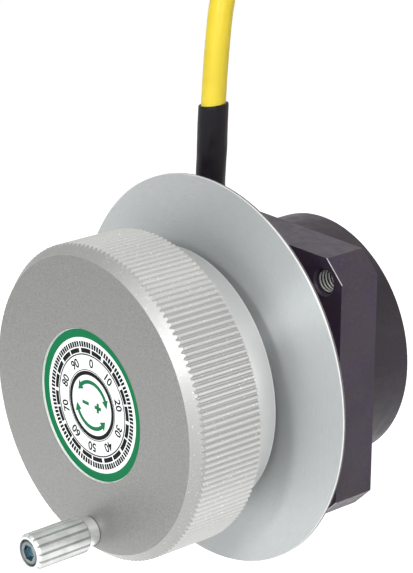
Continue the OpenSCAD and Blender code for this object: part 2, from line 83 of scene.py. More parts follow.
def make_camera():
    az, el, roll = (math.radians(a) for a in (CAM_AZ, CAM_EL, CAM_ROLL))
    back = direction(az, el)
    right = (-back).cross(Vector((0, 0, 1))).normalized()
    up = right.cross(-back)
    target = Vector(CAM_TARGET) * MM + right * CAM_SHIFT[0] * MM + up * CAM_SHIFT[1] * MM
    x = right * math.cos(roll) + up * math.sin(roll)
    y = up * math.cos(roll) - right * math.sin(roll)
    data = bpy.data.cameras.new("camera")
    data.lens, data.sensor_width, data.clip_start = CAM_LENS, CAM_SENSOR, 0.01
    cam = bpy.data.objects.new("camera", data)
    bpy.context.scene.collection.objects.link(cam)
    turn = Matrix((x, y, back)).transposed().to_4x4()
    cam.matrix_world = Matrix.Translation(target + back * CAM_DISTANCE * MM) @ turn
    bpy.context.scene.camera = cam


make_camera()


# ---------------------------------------------------------------- cable

# The cord's centre line in mm: out of the block and over to the rear, then the coil, then
# the free end. The third point of the route is where the cord leaves the block.
CABLE_R = 2.55
ROUTE = [(-16.3, 4, 15), (-16.3, 4, 21), (-16.3, 4, 25.8), (-16.3, 4.511, 38),
         (-16.3, 5.014, 50), (-16.3, 5.8, 60), (-16.3, 7.2, 70), (-16.3, 10.6, 80),
         (-16.3, 17, 90), (-16.3, 26, 97), (-16.2, 37, 100.5), (-16.1, 48, 99),
         (-16, 58.5, 93), (-15.8, 66.5, 83), (-15.7, 71, 71), (-15.6, 73, 58),
         (-15.6, 73.4, 45), (-15.6, 73.4, 30)]
TAIL_X, TAIL_Y = -15.6, 78.6
TAIL = [(TAIL_X, TAIL_Y, z) for z in (8, 0, -12, -24, -36)]
COIL_X, COIL_Z = 16, 20
COIL_START, COIL_END, COIL_STEP = 180, 1620, 6      # turn angle, in degrees
# Places of a strand in the wound bundle, as (radius, y), and the moves between them, as
# (turn angle at the start, at the end, place, place half-way, next place)
OUT_F, IN_F, IN_B, OUT_B = (31.6, 73.4), (26.4, 73.4), (26.4, 78.6), (31.6, 78.6)
FRONT = (29.0, 68.9)
MOVES = [(459, 522, OUT_F, (30.6, 70.9), FRONT), (599, 753, FRONT, (27.3, 70.9), IN_F),
         (963, 1070, IN_F, (26.4, 76.0), IN_B), (1284, 1400, IN_B, (29.0, 78.6), OUT_B)]
# The shrink sleeve round the cord's foot
SHRINK_H, SHRINK_R, SHRINK_LEAN = 23.5, 3.10, -2.4


def smooth(points, step=2.5):
    """Points on a Catmull-Rom curve through the given ones, about step apart."""
    p = [Vector(q) for q in points]
    p = [2 * p[0] - p[1]] + p + [2 * p[-1] - p[-2]]
    out = []
    for i in range(1, len(p) - 2):
        n = max(1, round((p[i + 1] - p[i]).length / step))
        for k in range(n):
            t = k / n
            out.append(0.5 * ((2 * p[i]) + (p[i + 1] - p[i - 1]) * t
                              + (2 * p[i - 1] - 5 * p[i] + 4 * p[i + 1] - p[i + 2]) * t * t
                              + (3 * p[i] - p[i - 1] - 3 * p[i + 1] + p[i + 2]) * t ** 3))
    return out + [p[-2]]


def strand(a):
    """Place in the bundle at turn angle a, in degrees."""
    place = OUT_F
    for start, end, here, middle, there in MOVES:
        if a >= end:
            place = there
        elif a > start:
            t = (a - start) / (end - start)
            t = t * t * (3 - 2 * t)
            return [(1 - t) ** 2 * h + 2 * t * (1 - t) * (2 * m - (h + n) / 2) + t * t * n
                    for h, m, n in zip(here, middle, there)]
    return place


def cable_points():
    """The whole centre line, in mm."""
    out = smooth(ROUTE)
    for a in range(COIL_START, COIL_END + 1, COIL_STEP):
        r, y = strand(a)
        out.append(Vector((COIL_X + r * math.cos(math.radians(a)), y,
                           COIL_Z + r * math.sin(math.radians(a)))))
    return out + smooth(TAIL)


def mesh_piece(name, bm, body, smooth_faces=True):
    """Turns a bmesh into a visible piece that rides on a body."""
    data = bpy.data.meshes.new(name)
    bm.normal_update()
    bm.to_mesh(data)
    bm.free()
    for f in data.polygons:
        f.use_smooth = smooth_faces
    obj = bpy.data.objects.new(name, data)
    bpy.context.scene.collection.objects.link(obj)
    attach(obj, body)
    return obj


def skin(bm, rings):
    """Joins rings of points into a tube, closed round each ring."""
    rows = [[bm.verts.new(p * MM) for p in ring] for ring in rings]
    for a, b in zip(rows, rows[1:]):
        for i in range(len(a)):
            j = (i + 1) % len(a)
            bm.faces.new((a[i], b[i], b[j], a[j]))
    return rows


def make_shrink():
    """Heat-shrink sleeve: slightly uneven, snug at the top, which is cut a little askew."""
    foot, sides = Vector(ROUTE[2]), 64
    turn = Matrix.Rotation(math.radians(SHRINK_LEAN), 3, "X")
    # Inset from the radius, and place along the height
    profile = [(0, i / 40) for i in range(40)] + [(0.02, 0.992), (0.12, 1.0), (0.5, 1.0)]
    rings = []
    for inset, t in profile:
        ring = []
        for k in range(sides):
            a = 2 * math.pi * k / sides
            wave = 0.03 * math.sin(2 * a + 9 * t) + 0.03 * math.sin(3 * a - 14 * t + 1)
            wave += 0.025 * math.sin(31 * t + 2 * a) * (1 - t)
            r = SHRINK_R - inset + wave * (1 - t ** 6)
            askew = 0.45 * (1 - math.cos(a - 0.6)) * max(0, t - 0.9) * 10
            ring.append(foot + turn @ Vector((r * math.cos(a), r * math.sin(a),
                                              SHRINK_H * t - askew)))
        rings.append(ring)
    bm = bmesh.new()
    skin(bm, rings)
    obj = mesh_piece("cable_shrink", bm, "housing")
    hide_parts("cable_sleeve")
    return obj


def make_jacket(points):
    """Round jacket along the cable's line, its rings carried along without twist."""
    side, sides, rings = Vector((1, 0, 0)), 24, []
    for i, p in enumerate(points):
        along = (points[min(i + 1, len(points) - 1)] - points[max(i - 1, 0)]).normalized()
        side = (side - along * side.dot(along)).normalized()
        other = along.cross(side)
        angles = [2 * math.pi * k / sides for k in range(sides)]
        rings.append([p + (side * math.cos(a) + other * math.sin(a)) * CABLE_R for a in angles])
    bm = bmesh.new()
    rows = skin(bm, rings)
    bm.faces.new(rows[0][::-1])
    bm.faces.new(rows[-1])
    bmesh.ops.recalc_face_normals(bm, faces=bm.faces)
    obj = mesh_piece("cable_jacket", bm, "housing")
    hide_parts("cable", "cable_coil", "cable_end")
    return obj


cable_line = cable_points()
jacket, shrink = make_jacket(cable_line), make_shrink()


# ---------------------------------------------------------------- materials

class Tree:
    """A short way to write a material's nodes. Lengths are in metres, so a noise's scale is
    its number of cells in a metre."""

    def __init__(self, name, **values):
        self.mat = bpy.data.materials.new(name)
        self.mat.use_nodes = True
        self.nt = self.mat.node_tree
        self.bsdf = self.nt.nodes["Principled BSDF"]
        self.set(**values)
        self.coords = self.nt.nodes.new("ShaderNodeTexCoord").outputs["Object"]

    def put(self, socket, value):
        """Links a socket or writes a plain value. None leaves the input as it is."""
        if isinstance(value, bpy.types.NodeSocket):
            self.nt.links.new(value, socket)
        elif value is not None:
            socket.default_value = value

    def math(self, op, a, b=None):
        n = self.nt.nodes.new("ShaderNodeMath")
        n.operation = op
        self.put(n.inputs[0], a)
        self.put(n.inputs[1], b)
        return n.outputs[0]

    def add(self, a, b):
        return self.math("ADD", a, b)

    def sub(self, a, b):
        return self.math("SUBTRACT", a, b)

    def mul(self, a, b):
        return self.math("MULTIPLY", a, b)

    def length(self, vector):
        n = self.nt.nodes.new("ShaderNodeVectorMath")
        n.operation = "LENGTH"
        self.put(n.inputs[0], vector)
        return n.outputs["Value"]

    def split(self):
        n = self.nt.nodes.new("ShaderNodeSeparateXYZ")
        self.put(n.inputs[0], self.coords)
        return n.outputs

    def join(self, x, y, z):
        n = self.nt.nodes.new("ShaderNodeCombineXYZ")
        for s, v in zip(n.inputs, (x, y, z)):
            self.put(s, v)
        return n.outputs[0]

    def around_axis(self, node=None):
        """Depth y, and the radius and angle about the wheel's axis or a round node's own."""
        x, y, z = self.split()
        if node:
            low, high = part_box(node)
            x = self.sub(x, (low[0] + high[0]) / 2)
            z = self.sub(z, (low[2] + high[2]) / 2)
        return y, self.length(self.join(x, 0.0, z)), self.math("ARCTAN2", z, x)

    def noise(self, scale, detail=3, rough=0.5, v=None):
        n = self.nt.nodes.new("ShaderNodeTexNoise")
        self.put(n.inputs["Vector"], v or self.coords)
        n.inputs["Scale"].default_value = scale
        n.inputs["Detail"].default_value = detail
        n.inputs["Roughness"].default_value = rough
        return n.outputs["Fac"]

    def span(self, v, a, b, lo=0.0, hi=1.0):
        """Goes smoothly from lo, where v is a, to hi, where v is b."""
        n = self.nt.nodes.new("ShaderNodeMapRange")
        n.interpolation_type = "SMOOTHSTEP"
        for s, x in zip(n.inputs, (v, a, b, lo, hi)):
            self.put(s, x)
        return n.outputs[0]

    def rise(self, v, a, b):
        """Mask from 0 to 1 between two lengths in mm, or from 1 to 0 if b is the lower."""
        if b < a:
            return self.span(v, b * MM, a * MM, 1.0, 0.0)
        return self.span(v, a * MM, b * MM)

    def mix(self, fac, a, b):
        n = self.nt.nodes.new("ShaderNodeMix")
        n.data_type = "RGBA"
        for s, v in zip((n.inputs[0], n.inputs[6], n.inputs[7]), (fac, a, b)):
            self.put(s, (*v, 1) if isinstance(v, tuple) else v)
        return n.outputs[2]

    def bump(self, height, distance):
        """Bump of a height in mm."""
        n = self.nt.nodes.new("ShaderNodeBump")
        n.inputs["Strength"].default_value = 1.0
        n.inputs["Distance"].default_value = distance * MM
        self.put(n.inputs["Height"], height)
        self.put(self.bsdf.inputs["Normal"], n.outputs[0])

    def set(self, **sockets):
        for key, value in sockets.items():
            self.put(self.bsdf.inputs[key.replace("_", " ")], value)
        return self.mat


def scaled(colour, k):
    return tuple(min(1, c * k) for c in colour)


def grained(name, colour, rough, grain, detail, depth, tint, spread, **values):
    """Fine grain, cloudy roughness and a faint change of colour."""
    t = Tree(name, **values)
    fine, cloud = t.noise(grain * detail, detail, 0.6), t.noise(grain / 8, 3)
    t.bump(fine, depth)
    return t.set(Base_Color=t.mix(cloud, scaled(colour, 1 - tint), scaled(colour, 1 + tint)),
                 Roughness=t.span(cloud, 0.3, 0.7, rough * (1 - spread), rough * (1 + spread)))


def metal(name, colour, rough, grain=900.0, depth=0.01, tint=0.06):
    """Plain machined or plated metal."""
    return grained(name, colour, rough, grain, 4, depth, tint, 0.15, Metallic=1.0)


def plastic(name, colour, rough, grain=900.0, depth=0.01, **values):
    """Moulded plastic, rubber or glass."""
    return grained(name, colour, rough, grain, 3, depth, 0.08, 0.1, **values)


def make_wheel_material():
    """Bead-blasted aluminium, finer on the turned ring, with painted highlights and glints."""
    t = Tree("blasted_aluminium")
    y, radius, angle = t.around_axis()
    ring = t.rise(y, RING_Y - 0.1, RING_Y + 0.1)
    cone = t.sub(y, t.mul(radius, CHAMFER_SLOPE))
    chamfer = t.rise(cone, CHAMFER_Y + 0.104, CHAMFER_Y + 0.044)
    knurl = t.mul(t.rise(radius, WHEEL_R - 1.1, WHEEL_R - 0.7), t.sub(1.0, ring))
    knurl = t.mul(knurl, t.sub(1.0, chamfer))
    # tip paints a highlight along the knurl's ridge crests
    tip = t.mul(t.rise(radius, WHEEL_R - 0.34, WHEEL_R - 0.06), knurl)
    beads, cloud, pits = t.noise(3600, 3, 0.7), t.noise(60, 3), t.noise(1500, 2)
    tone = t.mix(t.span(beads, 0.36, 0.64), (0.155, 0.155, 0.150), (0.226, 0.226, 0.219))
    tone = t.mix(t.span(cloud, 0.35, 0.7, 0.0, 0.3), tone, (0.188, 0.190, 0.186))
    tone = t.mix(chamfer, tone, (0.315, 0.315, 0.31))
    tone = t.mix(knurl, tone, (0.42, 0.42, 0.415))
    tone = t.mix(tip, tone, (0.50, 0.50, 0.49))
    tone = t.mix(ring, tone, (0.68, 0.685, 0.675))
    # Painted highlight and painted shade: a bright line and a dark one along the ring's rear
    # edge
    tone = t.mix(t.rise(y, WHEEL_BACK_Y - 0.65, WHEEL_BACK_Y - 0.55), tone, (0.85, 0.85, 0.84))
    tone = t.mix(t.rise(y, WHEEL_BACK_Y - 0.3, WHEEL_BACK_Y - 0.25), tone, (0.14, 0.14, 0.13))
    # Painted highlight: the wall of the label's recess is painted near white
    recess_highlight = t.mul(t.rise(radius, LABEL_R + 0.5, LABEL_R + 0.4),
                   t.rise(y, FACE_Y + 0.05, FACE_Y + 0.1))
    tone = t.mix(recess_highlight, tone, (0.90, 0.90, 0.89))
    # Painted glints: white specks on the knurl, fainter on the chamfer
    painted_glints = t.mul(t.span(t.noise(3400, 1), 0.68, 0.76, 0.0, 0.8),
                  t.math("MAXIMUM", knurl, t.mul(chamfer, 0.6)))
    tone = t.mix(painted_glints, tone, (0.98, 0.98, 0.97))
    rough = t.add(t.span(beads, 0.2, 0.8, 0.44, 0.54), t.mul(knurl, -0.02))
    rough = t.add(rough, t.mul(ring, -0.1))
    lathe = t.noise(900, 2, 0.5, t.join(0.0, t.mul(y, 9.0), 0.0))
    height = t.add(t.mul(beads, 0.7), t.mul(pits, 0.5))
    height = t.add(height, t.mul(lathe, t.mul(ring, 0.4)))
    # The ridges' flanks are rounded over
    wave = t.math("COSINE", t.mul(angle, float(KNURL_RIDGES)))
    height = t.add(height, t.mul(wave, t.mul(knurl, -1.7)))
    t.bump(height, 0.035)
    turned = t.math("MAXIMUM", ring, t.math("MAXIMUM", knurl, chamfer))
    return t.set(Base_Color=tone, Roughness=rough, Metallic=t.add(0.35, t.mul(turned, 0.45)))


def make_pin_material():
    """Zinc plated screw, bluish, with painted light down in its socket."""
    t = Tree("blue_zinc_screw", Metallic=1.0)
    y, radius, _ = t.around_axis("crank_pin")
    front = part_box("crank_pin")[0][1] / MM
    socket_light = t.mul(t.rise(radius, 1.80, 1.75), t.rise(y, front + 0.1, front + 0.2))
    cloud = t.noise(900, 3)
    tone = t.mix(t.span(cloud, 0.3, 0.7), (0.12, 0.14, 0.145), (0.15, 0.17, 0.175))
    # Painted light: the socket's walls are painted lighter and bluer
    tone = t.mix(socket_light, tone, (0.25, 0.35, 0.39))
    t.bump(cloud, 0.008)
    return t.set(Base_Color=tone, Roughness=t.add(0.46, t.mul(socket_light, -0.22)))


def make_foot_material():
    """Turned nickel collar, with painted shade where it meets the wheel."""
    t = Tree("turned_nickel", Metallic=0.8)
    back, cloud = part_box("crank_foot")[1][1] / MM, t.noise(140, 3)
    tone = t.mix(t.span(cloud, 0.3, 0.7), (0.70, 0.71, 0.70), (0.80, 0.81, 0.80))
    # Painted shade: a dark ring along the collar's back edge, where it meets the wheel
    tone = t.mix(t.rise(t.split()[1], back - 0.22, back - 0.12), tone, (0.14, 0.14, 0.13))
    t.bump(t.noise(4000, 4, 0.6), 0.006)
    return t.set(Base_Color=tone, Roughness=t.span(cloud, 0.3, 0.7, 0.32, 0.4))


def make_crank_material():
    """Bright nickel: smooth ridges, painted shade at the bottom of the grooves."""
    t = Tree("nickel_plated_steel", Metallic=0.7)
    y, radius, angle = t.around_axis("crank_sleeve")
    low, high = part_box("crank_sleeve")
    outer, front = (high[0] - low[0]) / 2 / MM, low[1] / MM
    outside = t.rise(radius, outer - 0.8, outer - 0.6)
    groove_shade = t.mul(t.rise(radius, outer - 0.1, outer - 0.42), outside)
    groove_shade = t.mul(groove_shade, t.rise(y, front + 0.8, front + 1.2))
    wave = t.math("COSINE", t.mul(angle, float(FLUTES)))
    fine, cloud = t.noise(3500, 3, 0.6), t.noise(300, 3)
    tone = t.mix(t.span(cloud, 0.35, 0.65), (0.58, 0.59, 0.58), (0.68, 0.69, 0.68))
    # Painted shade at the bottom of the grooves
    tone = t.mix(t.mul(groove_shade, 0.45), tone, (0.22, 0.23, 0.225))
    t.bump(t.add(t.mul(t.add(fine, cloud), 0.12), t.mul(wave, outside)), 0.05)
    return t.set(Base_Color=tone, Roughness=t.span(cloud, 0.3, 0.7, 0.40, 0.48))


def make_disc_material():
    """Satin aluminium sheet, brushed in fine circles, clear anodised."""
    t = Tree("satin_aluminium", Metallic=0.3, Anisotropic=0.9, Anisotropic_Rotation=0.25)
    tangent = t.nt.nodes.new("ShaderNodeTangent")
    tangent.direction_type, tangent.axis = "RADIAL", "Y"
    y, radius, angle = t.around_axis()
    fine = t.noise(1.0, 4, 0.6, t.join(t.mul(radius, 9000.0), t.mul(angle, 14.0), y))
    grains, cloud = t.noise(7000, 3, 0.6), t.noise(45, 3)
    tone = t.mix(t.span(fine, 0.3, 0.7), (0.382, 0.404, 0.407), (0.448, 0.470, 0.472))
    tone = t.mix(t.span(cloud, 0.35, 0.7, 0.0, 0.3), tone, (0.415, 0.428, 0.432))
    # Painted highlight on the rim, and painted shade on its rear half
    tone = t.mix(t.rise(radius, DISC_R - 0.16, DISC_R - 0.04), tone, (0.72, 0.73, 0.73))
    rear = t.mul(t.rise(radius, DISC_R - 0.1, DISC_R - 0.04),
                 t.rise(y, DISC_Y + 0.25, DISC_Y + 0.35))
    tone = t.mix(rear, tone, (0.13, 0.115, 0.11))
    t.bump(t.add(t.mul(fine, 0.6), t.mul(grains, 0.5)), 0.012)
    return t.set(Base_Color=tone, Roughness=t.span(cloud, 0.3, 0.7, 0.50, 0.58),
                 Tangent=tangent.outputs[0])


def make_anodised(name, dark, light, rough, corner=None):
    """Black anodised aluminium: purple-brown sheen, fine blasted grain. The edge where the
    front face meets the cut corners is worn bare, if their |x| + |z| is given."""
    t = Tree(name, Specular_IOR_Level=0.3)
    grain, cloud, smear = t.noise(5000, 3, 0.6), t.noise(70, 4), t.noise(400, 3)
    tone = t.mix(t.span(cloud, 0.3, 0.7), dark, light)
    brown = tuple(b * k for b, k in zip(light, (0.95, 0.95, 0.62)))
    tone = t.mix(t.span(t.noise(150, 4, 0.6), 0.4, 0.62, 0.0, 0.8), tone, brown)
    tone = t.mix(t.span(smear, 0.62, 0.75, 0.0, 0.3), tone, scaled(light, 1.6))
    tone = t.mix(t.span(t.noise(2400, 2), 0.5, 0.7, 0.0, 0.35), tone, scaled(light, 1.9))
    t.bump(t.add(grain, t.mul(smear, 0.3)), 0.012)
    roughness = t.span(smear, 0.3, 0.7, rough * 0.9, rough * 1.12)
    if not corner:
        return t.set(Base_Color=tone, Roughness=roughness)
    x, y, z = t.split()
    across = t.add(t.math("ABSOLUTE", x), t.math("ABSOLUTE", z))
    edge = t.mul(t.rise(y, 0.22, 0.02), t.rise(across, corner - 0.25, corner - 0.05))
    bare = t.mul(edge, t.span(t.noise(230, 2), 0.38, 0.5))
    return t.set(Base_Color=t.mix(bare, tone, (0.85, 0.85, 0.86)), Metallic=bare,
                 Roughness=t.add(roughness, t.mul(bare, -0.1)))


def make_thread_material():
    """Bright thread crests, with painted shade in the grooves."""
    t = Tree("cut_aluminium", Metallic=1.0, Roughness=0.24)
    x, _, z = t.split()
    dx, dz = (t.sub(t.math("ABSOLUTE", v), HOLE * MM) for v in (x, z))
    groove_shade = t.rise(t.length(t.join(dx, 0.0, dz)), HOLE_R - 0.34, HOLE_R - 0.14)
    t.bump(t.noise(4800, 4, 0.6), 0.004)
    # Painted shade: the grooves are painted near black
    return t.set(Base_Color=t.mix(groove_shade, (0.86, 0.85, 0.84), (0.06, 0.05, 0.05)))


def make_jacket_material():
    """Yellow cable jacket: satin, slightly wavy, with faint smudges."""
    t = Tree("yellow_jacket", Coat_Weight=0.15, Coat_Roughness=0.25)
    cloud, fine, smudge = t.noise(90, 3), t.noise(2600, 3, 0.6), t.noise(700, 3)
    tone = t.mix(t.span(cloud, 0.3, 0.7), (0.66, 0.50, 0.012), (0.72, 0.56, 0.020))
    tone = t.mix(t.span(smudge, 0.66, 0.8, 0.0, 0.25), tone, (0.62, 0.42, 0.02))
    t.bump(t.add(t.mul(fine, 0.4), cloud), 0.04)
    return t.set(Base_Color=tone, Roughness=t.span(smudge, 0.3, 0.7, 0.36, 0.46))


def make_shrink_material():
    """Black heat-shrink tube with soft folds."""
    t = Tree("shrink_black", Specular_IOR_Level=0.15)
    fine, fold = t.noise(3200, 3, 0.6), t.noise(260, 3)
    t.bump(t.add(t.mul(fine, 0.25), fold), 0.12)
    return t.set(Base_Color=t.mix(fold, (0.005, 0.004, 0.006), (0.010, 0.008, 0.011)),
                 Roughness=t.span(fold, 0.3, 0.7, 0.36, 0.48))


def make_board_material():
    """Green solder mask over faint copper traces."""
    t = Tree("board_green", Coat_Weight=0.3)
    wavy = t.add(t.split()[0], t.mul(t.noise(60, 1), 6 * MM))
    trace = t.rise(t.math("PINGPONG", wavy, 0.9 * MM), 0.30, 0.36)
    t.bump(trace, 0.03)
    return t.set(Base_Color=t.mix(trace, (0.010, 0.075, 0.030), (0.02, 0.15, 0.06)),
                 Roughness=t.span(t.noise(300), 0, 1, 0.3, 0.45))


def make_cores_material():
    """Six cores of different colours, their far ends in bright ferrules."""
    t = Tree("core_colours")
    x, y, z = t.split()
    angle = t.math("ARCTAN2", t.sub(y, TAIL_Y * MM), t.sub(x, TAIL_X * MM))
    turn = t.math("FRACT", t.add(t.math("DIVIDE", angle, 2 * math.pi), 1 / 12 + 1))
    ramp = t.nt.nodes.new("ShaderNodeValToRGB")
    ramp.color_ramp.interpolation = "CONSTANT"
    colours = [(0.75, 0.75, 0.72), (0.16, 0.07, 0.03), (0.03, 0.30, 0.07),
               (0.80, 0.58, 0.02), (0.25, 0.26, 0.27), (0.75, 0.20, 0.24)]
    stops = ramp.color_ramp.elements
    for i, c in enumerate(colours):
        stop = stops[i] if i < len(stops) else stops.new(i / 6)
        stop.position, stop.color = i / 6, (*c, 1)
    t.put(ramp.inputs[0], turn)
    ferrule = t.rise(z, -69.9, -70.0)
    fine = t.noise(3000)
    t.bump(fine, 0.02)
    return t.set(Base_Color=t.mix(ferrule, ramp.outputs[0], (0.80, 0.80, 0.78)),
                 Metallic=ferrule, Roughness=t.span(fine, 0, 1, 0.3, 0.45))


def make_tie_material():
    """Hook-and-loop tape: a close, fuzzy weave."""
    t = Tree("tie_fabric", Sheen_Weight=0.4)
    x, y, z = t.split()
    warp, weft = (t.math("SINE", t.mul(v, 9000.0)) for v in (x, t.add(y, z)))
    fuzz = t.noise(4000, 4, 0.7)
    t.bump(t.add(t.mul(t.mul(warp, weft), 0.5), fuzz), 0.15)
    return t.set(Base_Color=t.mix(fuzz, (0.012, 0.012, 0.012), (0.04, 0.04, 0.042)),
                 Roughness=t.span(fuzz, 0, 1, 0.75, 0.95))


def make_label_material():
    """White foil with a soft satin surface."""
    t = Tree("label_white", Specular_IOR_Level=0.3)
    fine, cloud = t.noise(3000, 3), t.noise(120, 2)
    t.bump(fine, 0.006)
    return t.set(Base_Color=t.mix(cloud, (0.84, 0.87, 0.865), (0.90, 0.93, 0.925)),
                 Roughness=t.span(fine, 0.2, 0.8, 0.3, 0.4))


def make_ink(name, colour):
    """Matt printing ink."""
    t = Tree(name, Specular_IOR_Level=0.06)
    fine, cloud = t.noise(3500, 3), t.noise(150, 2)
    t.bump(fine, 0.004)
    return t.set(Base_Color=t.mix(cloud, scaled(colour, 0.9), scaled(colour, 1.1)),
                 Roughness=t.span(fine, 0.2, 0.8, 0.5, 0.6))


MATERIALS = {name: material for names, material in [
    (["handwheel"], make_wheel_material()),
    (["cover_disc"], make_disc_material()),
    (["label_plate"], make_label_material()),
    (["flange_block"], make_anodised("black_anodised", (0.022, 0.013, 0.031),
                                     (0.034, 0.022, 0.045), 0.42, CORNER)),
    (["rear_cover"], make_anodised("cover_anodised", (0.009, 0.005, 0.013),
                                   (0.016, 0.010, 0.021), 0.44)),
    (["cable_jacket"], make_jacket_material()),
    (["cable_shrink", "end_sleeve"], make_shrink_material()),
    (["circuit_board"], make_board_material()),
    (["end_cores"], make_cores_material()),
    (["coil_tie"], make_tie_material()),
    (["crank_sleeve"], make_crank_material()),
    (["crank_foot"], make_foot_material()),
    (["crank_pin"], make_pin_material()),
    (["centre_screw", "disc_screws", "board_screws"],
     metal("zinc_plated_steel", (0.72, 0.75, 0.78), 0.26, 1200, 0.006, 0.08)),
    (["shaft", "bearing_spacer", "code_disc_hub", "code_disc_clamp"],
     metal("ground_steel", (0.56, 0.57, 0.58), 0.28)),
    (["shaft_clip", "housing_clip"], metal("blued_spring_steel", (0.16, 0.17, 0.20), 0.35)),
    (["front_inner_ring", "rear_inner_ring", "front_outer_ring", "rear_outer_ring",
      "front_balls", "rear_balls"],
     metal("bright_steel", (0.62, 0.63, 0.64), 0.16, 1500, 0.002, 0.04)),
    (["front_cage", "rear_cage"], plastic("cage_nylon", (0.50, 0.33, 0.16), 0.5)),
    (["detent_wheel", "detent_poles"], metal("soft_iron", (0.42, 0.42, 0.43), 0.38, 700)),
    (["detent_magnets"], metal("magnet_nickel", (0.55, 0.55, 0.52), 0.2, 700)),
    (["code_disc"], plastic("code_glass", (0.45, 0.52, 0.52), 0.12, Coat_Weight=0.6)),
    (["board_pillars"], metal("turned_brass", (0.78, 0.57, 0.25), 0.25)),
    (["read_head"], plastic("black_moulding", (0.018, 0.018, 0.018), 0.45)),
    (["board_connector"], plastic("ivory_moulding", (0.72, 0.68, 0.55), 0.4)),
    (["cable_leads"], plastic("lead_green", (0.05, 0.32, 0.09), 0.4)),
    (["panel_oring", "shaft_seal", "cover_gasket"],
     plastic("black_rubber", (0.014, 0.014, 0.014), 0.6, 1200, 0.02)),
    (["cover_screws"], metal("blackened_steel", (0.09, 0.09, 0.10), 0.36)),
] for name in names}


def paint(obj, material):
    obj.data.materials.clear()
    obj.data.materials.append(material)


for name, obj in nodes.items():
    if name in MATERIALS:
        paint(obj, MATERIALS[name])
paint(jacket, MATERIALS["cable_jacket"])
paint(shrink, MATERIALS["cable_shrink"])


# ---------------------------------------------------------------- label

PRINT_T = 0.03      # thickness of the printed patches
NUMERAL_R, NUMERAL_SIZE, NUMERALS = 8.55, 2.5, 10


def on_circle(r, degrees):
    a = math.radians(degrees)
    return r * math.cos(a), r * math.sin(a)


def flat(bm, points):
    """The front of a thin printed patch on the label, from places in X and Z."""
    bm.faces.new([bm.verts.new(Vector((x, LABEL_Y - PRINT_T, z)) * MM) for x, z in points])


def box(bm, x0, z0, x1, z1):
    flat(bm, [(x0, z0), (x1, z0), (x1, z1), (x0, z1)])


def arc(bm, r0, r1, a0, a1, step=3.0):
    """Part of a ring from angle a0 to a1 in degrees, anticlockwise as seen from the front."""
    n = max(1, math.ceil((a1 - a0) / step))
    at = [a0 + (a1 - a0) * i / n for i in range(n + 1)]
    for a, b in zip(at, at[1:]):
        flat(bm, [on_circle(r0, a), on_circle(r0, b), on_circle(r1, b), on_circle(r1, a)])


def band(bm, r0, r1, count, gap, wide, every):
    """Ring of blocks, each short of the marks at its ends by gap degrees, or by wide degrees
    at the first mark and at every so many marks after it."""
    for i in range(count):
        before, after = (gap if k % every else wide for k in (i, i + 1))
        arc(bm, r0, r1, 360 / count * i + before, 360 / count * (i + 1) - after)


def print_piece(name, bm, material):
    """Gives the patches their thickness, in an order that is the same in each run."""
    bmesh.ops.remove_doubles(bm, verts=bm.verts, dist=1e-7)
    fronts, verts = list(bm.faces), list(bm.verts)
    rims = [(loop.vert, loop.link_loop_next.vert)
            for f in fronts for loop in f.loops if loop.edge.is_boundary]
    back = {v: bm.verts.new(v.co + Vector((0, PRINT_T * MM, 0))) for v in verts}
    for f in fronts:
        bm.faces.new([back[v] for v in reversed(f.verts[:])])
    for v, w in rims:
        bm.faces.new((w, v, back[v], back[w]))
    bmesh.ops.recalc_face_normals(bm, faces=bm.faces)
    paint(mesh_piece(name, bm, "rotor", False), material)


def make_numerals(material):
    """0 to 90 round the label, clockwise from the top."""
    numerals = []
    for i in range(NUMERALS):
        data = bpy.data.curves.new("numeral", "FONT")
        data.body, data.size = str(10 * i), NUMERAL_SIZE * MM
        data.align_x, data.align_y = "CENTER", "CENTER"
        data.extrude, data.offset = PRINT_T * MM / 2, 0.05 * MM
        obj = bpy.data.objects.new("numeral", data)
        bpy.context.scene.collection.objects.link(obj)
        turn = 360 / NUMERALS * i
        x, z = on_circle(NUMERAL_R, 90 - turn)
        place = Vector((x, LABEL_Y - PRINT_T / 2, z)) * MM
        obj.matrix_world = (Matrix.Translation(place)
                            @ Matrix.Rotation(math.radians(turn), 4, "Y")
                            @ Matrix.Rotation(math.radians(90), 4, "X"))
        numerals.append(obj)
    bpy.context.view_layer.update()
    graph = bpy.context.evaluated_depsgraph_get()
    bm = bmesh.new()
    for obj in numerals:
        mesh = bpy.data.meshes.new_from_object(obj.evaluated_get(graph))
        mesh.transform(obj.matrix_world)
        bm.from_mesh(mesh)
        bpy.data.meshes.remove(mesh)
        bpy.data.objects.remove(obj)
    paint(mesh_piece("label_numerals", bm, "rotor", False), material)


def make_label():
    green = make_ink("label_green", (0.003, 0.155, 0.056))
    black = make_ink("label_black", (0.004, 0.004, 0.005))

    bm = bmesh.new()
    arc(bm, 13.6, 15.25, 0, 360)
    print_piece("label_green_ring", bm, green)

    # From the outside in: a hundred divisions, twenty blocks, and rings round the numerals
    bm = bmesh.new()
    band(bm, 11.7, 12.8, 100, 0.5, 0.8, 5)
    band(bm, 10.55, 11.45, 20, 1.0, 1.8, 2)
    for r0, r1 in ((10.1, 10.35), (7.05, 7.2), (6.1, 6.9)):
        arc(bm, r0, r1, 0, 360)
    print_piece("label_scale", bm, black)

    # Two turning arrows, each with a head at both ends, then a minus and a plus
    bm = bmesh.new()
    for side in (0, 180):
        arc(bm, 4.3, 5.1, side + 28, side + 132)
        for a, s in ((side + 28, -1), (side + 132, 1)):
            flat(bm, [on_circle(3.7, a), on_circle(5.7, a), on_circle(4.7, a + s * 20)][::s])
    box(bm, -2.9, -0.35, -0.9, 0.35)
    box(bm, 0.9, -0.35, 2.9, 0.35)
    box(bm, 1.55, 0.36, 2.25, 1.0)
    box(bm, 1.55, -1.0, 2.25, -0.36)
    print_piece("label_arrows", bm, green)

    make_numerals(black)


make_label()


# ---------------------------------------------------------------- threads

